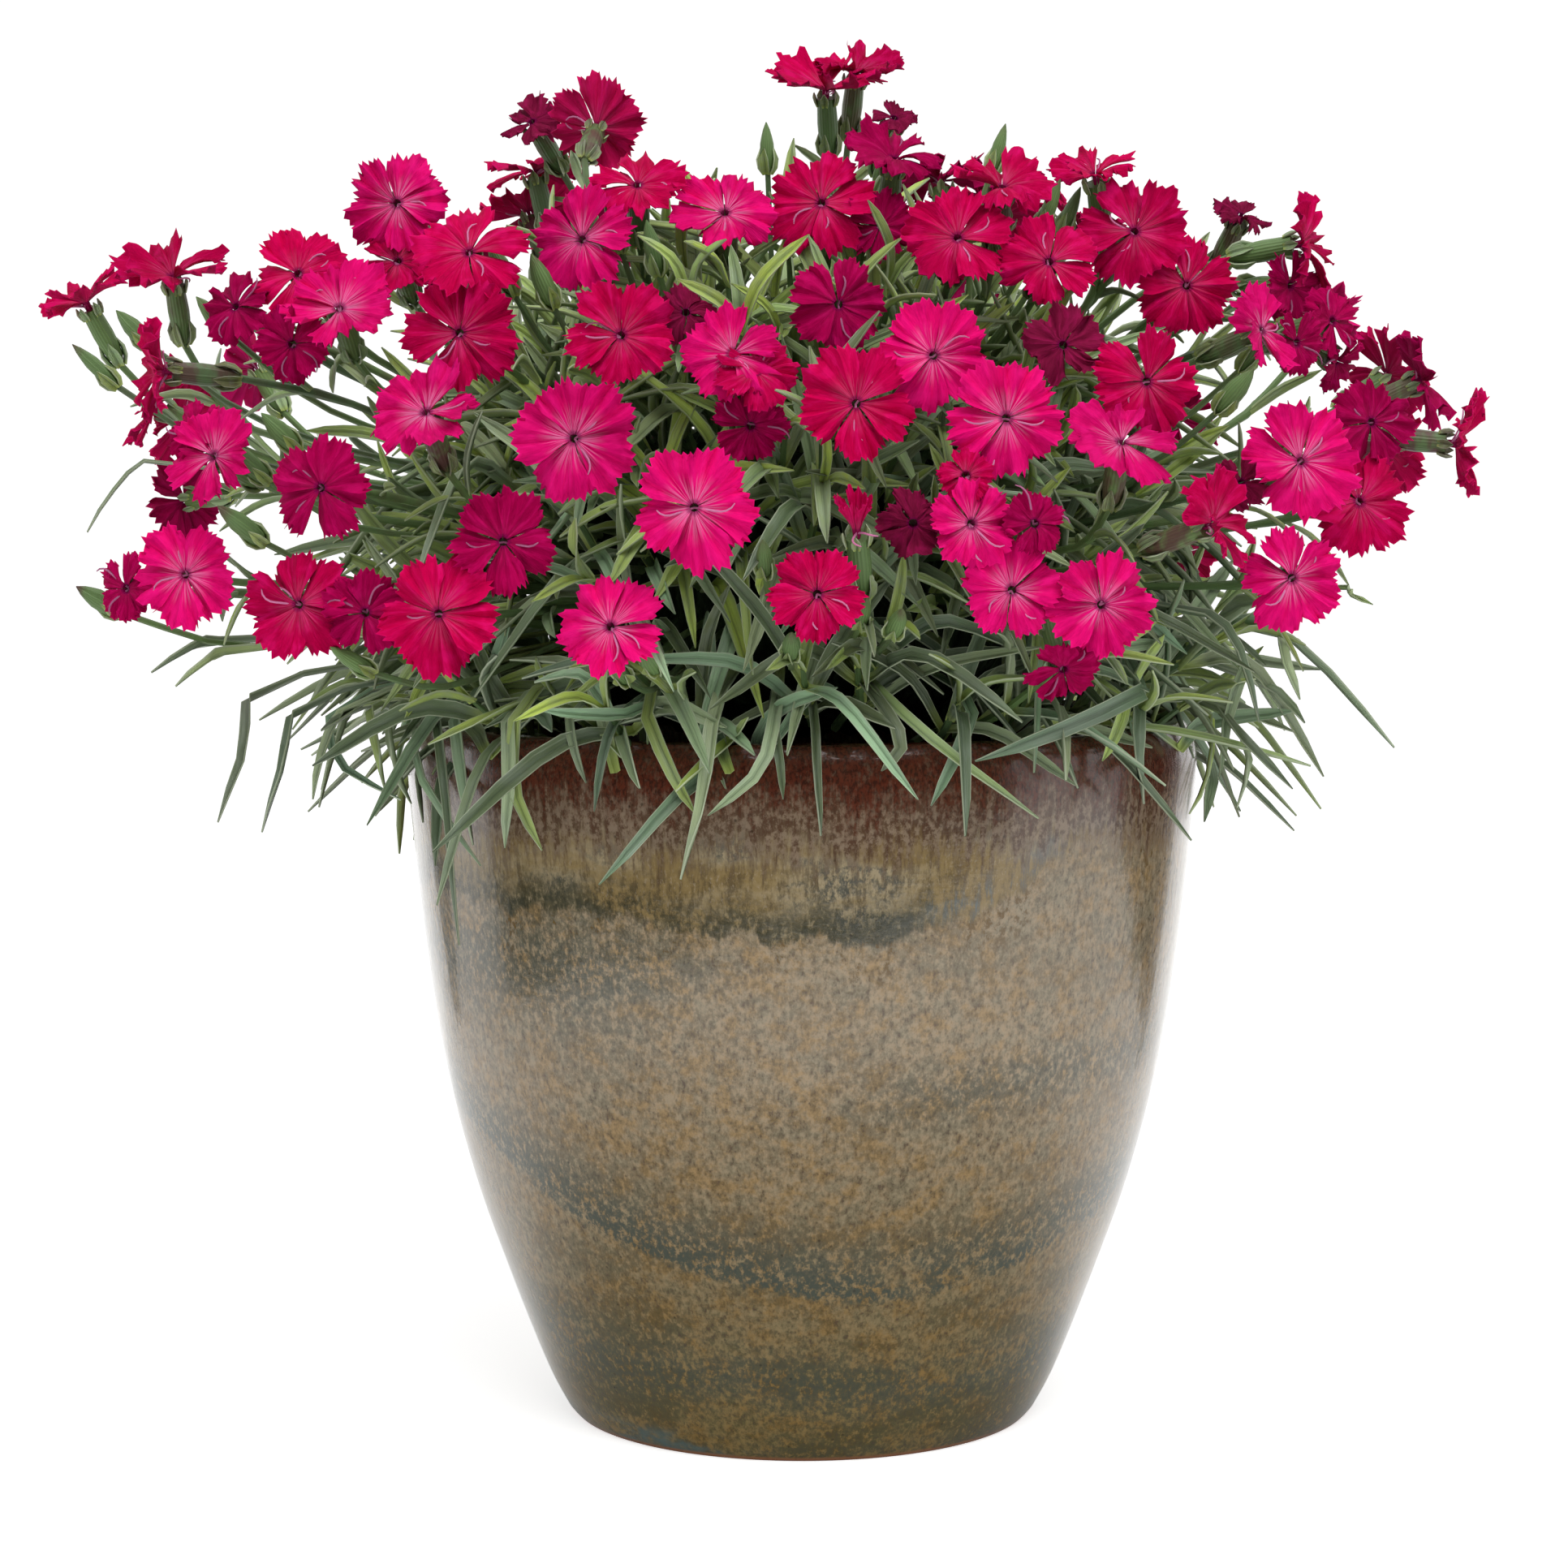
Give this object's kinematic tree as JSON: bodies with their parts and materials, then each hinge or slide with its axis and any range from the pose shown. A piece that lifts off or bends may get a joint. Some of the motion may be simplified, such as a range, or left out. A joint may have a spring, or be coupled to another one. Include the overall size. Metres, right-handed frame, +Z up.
{
  "type": "dianthus plant in pot",
  "caption": "Bushy dianthus in full bloom with fringed crimson-pink flowers and narrow grey-green leaves, standing in a glazed round planter.",
  "frame": {"origin": "middle of the pot's flat foot, on the ground", "axes": "+Z up along the pot's axis; the picture was taken from the -Y side"},
  "size_m": [0.3658, 0.2644, 0.352],
  "materials": {
    "foliage": null,
    "petals_back_a": "soft satin petals, crimson",
    "petals_back_b": "soft satin petals, crimson",
    "petals_back_c": "soft satin petals, crimson",
    "petals_back_d": "soft satin petals, crimson",
    "petals_back_e": "soft satin petals, crimson",
    "petals_back_f": "soft satin petals, crimson",
    "petals_front_a": "soft satin petals, crimson",
    "petals_front_b": "soft satin petals, crimson",
    "petals_front_c": "soft satin petals, bright crimson-pink",
    "petals_front_d": "soft satin petals, bright crimson-pink",
    "petals_front_e": "soft satin petals, crimson",
    "petals_front_f": "soft satin petals, bright crimson-pink",
    "petals_front_g": "soft satin petals, bright crimson-pink",
    "petals_front_h": "soft satin petals, deep wine red",
    "petals_front_i": "soft satin petals, crimson, half open",
    "petals_front_j": "soft satin petals, faded brown-purple",
    "petals_left_a": "soft satin petals, crimson",
    "petals_left_b": "soft satin petals, crimson",
    "petals_left_c": "soft satin petals, crimson",
    "petals_left_d": "soft satin petals, bright crimson-pink",
    "petals_left_e": "soft satin petals, bright crimson-pink",
    "petals_left_f": "soft satin petals, bright crimson-pink",
    "petals_left_g": "soft satin petals, crimson",
    "petals_mid_a": "soft satin petals, bright crimson-pink",
    "petals_mid_b": "soft satin petals, bright crimson-pink",
    "petals_mid_c": "soft satin petals, deep wine red",
    "petals_mid_d": "soft satin petals, crimson",
    "petals_mid_e": "soft satin petals, bright crimson-pink",
    "petals_mid_f": "soft satin petals, bright crimson-pink",
    "petals_mid_g": "soft satin petals, crimson",
    "petals_mid_h": "soft satin petals, faded brown-purple",
    "petals_mid_i": "soft satin petals, bright crimson-pink",
    "petals_mid_j": "soft satin petals, bright crimson-pink",
    "petals_mid_k": "soft satin petals, crimson",
    "petals_mid_l": "soft satin petals, faded brown-purple",
    "petals_mid_m": "soft satin petals, crimson",
    "petals_mid_n": "soft satin petals, deep wine red",
    "petals_right_a": "soft satin petals, bright crimson-pink",
    "petals_right_b": "soft satin petals, crimson",
    "petals_right_c": "soft satin petals, deep wine red",
    "petals_right_d": "soft satin petals, faded brown-purple",
    "petals_right_e": "soft satin petals, bright crimson-pink",
    "petals_right_f": "soft satin petals, deep wine red",
    "petals_right_g": "soft satin petals, crimson",
    "petals_right_h": "soft satin petals, bright crimson-pink",
    "petals_right_i": "soft satin petals, crimson",
    "petals_right_j": "soft satin petals, faded brown-purple",
    "petals_top_a": "soft satin petals, bright crimson-pink",
    "petals_top_b": "soft satin petals, bright crimson-pink",
    "petals_top_c": "soft satin petals, crimson",
    "petals_top_d": "soft satin petals, faded brown-purple",
    "petals_top_e": "soft satin petals, bright crimson-pink",
    "petals_top_f": "soft satin petals, crimson",
    "petals_top_g": "soft satin petals, crimson",
    "petals_top_h": "soft satin petals, faded brown-purple",
    "petals_top_i": "soft satin petals, crimson",
    "petals_top_j": "soft satin petals, crimson",
    "pot": "glossy mottled tan, ochre and blue-grey glaze with an oxblood band under the rim, bare clay at the foot",
    "soil": null
  },
  "bodies": {
    "root": {"foliage": "foliage", "petals_back_a": "petals_back_a", "petals_back_b": "petals_back_b", "petals_back_c": "petals_back_c", "petals_back_d": "petals_back_d", "petals_back_e": "petals_back_e", "petals_back_f": "petals_back_f", "petals_front_a": "petals_front_a", "petals_front_b": "petals_front_b", "petals_front_c": "petals_front_c", "petals_front_d": "petals_front_d", "petals_front_e": "petals_front_e", "petals_front_f": "petals_front_f", "petals_front_g": "petals_front_g", "petals_front_h": "petals_front_h", "petals_front_i": "petals_front_i", "petals_front_j": "petals_front_j", "petals_left_a": "petals_left_a", "petals_left_b": "petals_left_b", "petals_left_c": "petals_left_c", "petals_left_d": "petals_left_d", "petals_left_e": "petals_left_e", "petals_left_f": "petals_left_f", "petals_left_g": "petals_left_g", "petals_mid_a": "petals_mid_a", "petals_mid_b": "petals_mid_b", "petals_mid_c": "petals_mid_c", "petals_mid_d": "petals_mid_d", "petals_mid_e": "petals_mid_e", "petals_mid_f": "petals_mid_f", "petals_mid_g": "petals_mid_g", "petals_mid_h": "petals_mid_h", "petals_mid_i": "petals_mid_i", "petals_mid_j": "petals_mid_j", "petals_mid_k": "petals_mid_k", "petals_mid_l": "petals_mid_l", "petals_mid_m": "petals_mid_m", "petals_mid_n": "petals_mid_n", "petals_right_a": "petals_right_a", "petals_right_b": "petals_right_b", "petals_right_c": "petals_right_c", "petals_right_d": "petals_right_d", "petals_right_e": "petals_right_e", "petals_right_f": "petals_right_f", "petals_right_g": "petals_right_g", "petals_right_h": "petals_right_h", "petals_right_i": "petals_right_i", "petals_right_j": "petals_right_j", "petals_top_a": "petals_top_a", "petals_top_b": "petals_top_b", "petals_top_c": "petals_top_c", "petals_top_d": "petals_top_d", "petals_top_e": "petals_top_e", "petals_top_f": "petals_top_f", "petals_top_g": "petals_top_g", "petals_top_h": "petals_top_h", "petals_top_i": "petals_top_i", "petals_top_j": "petals_top_j", "pot": "pot", "soil": "soil"}
  },
  "joints": []
}
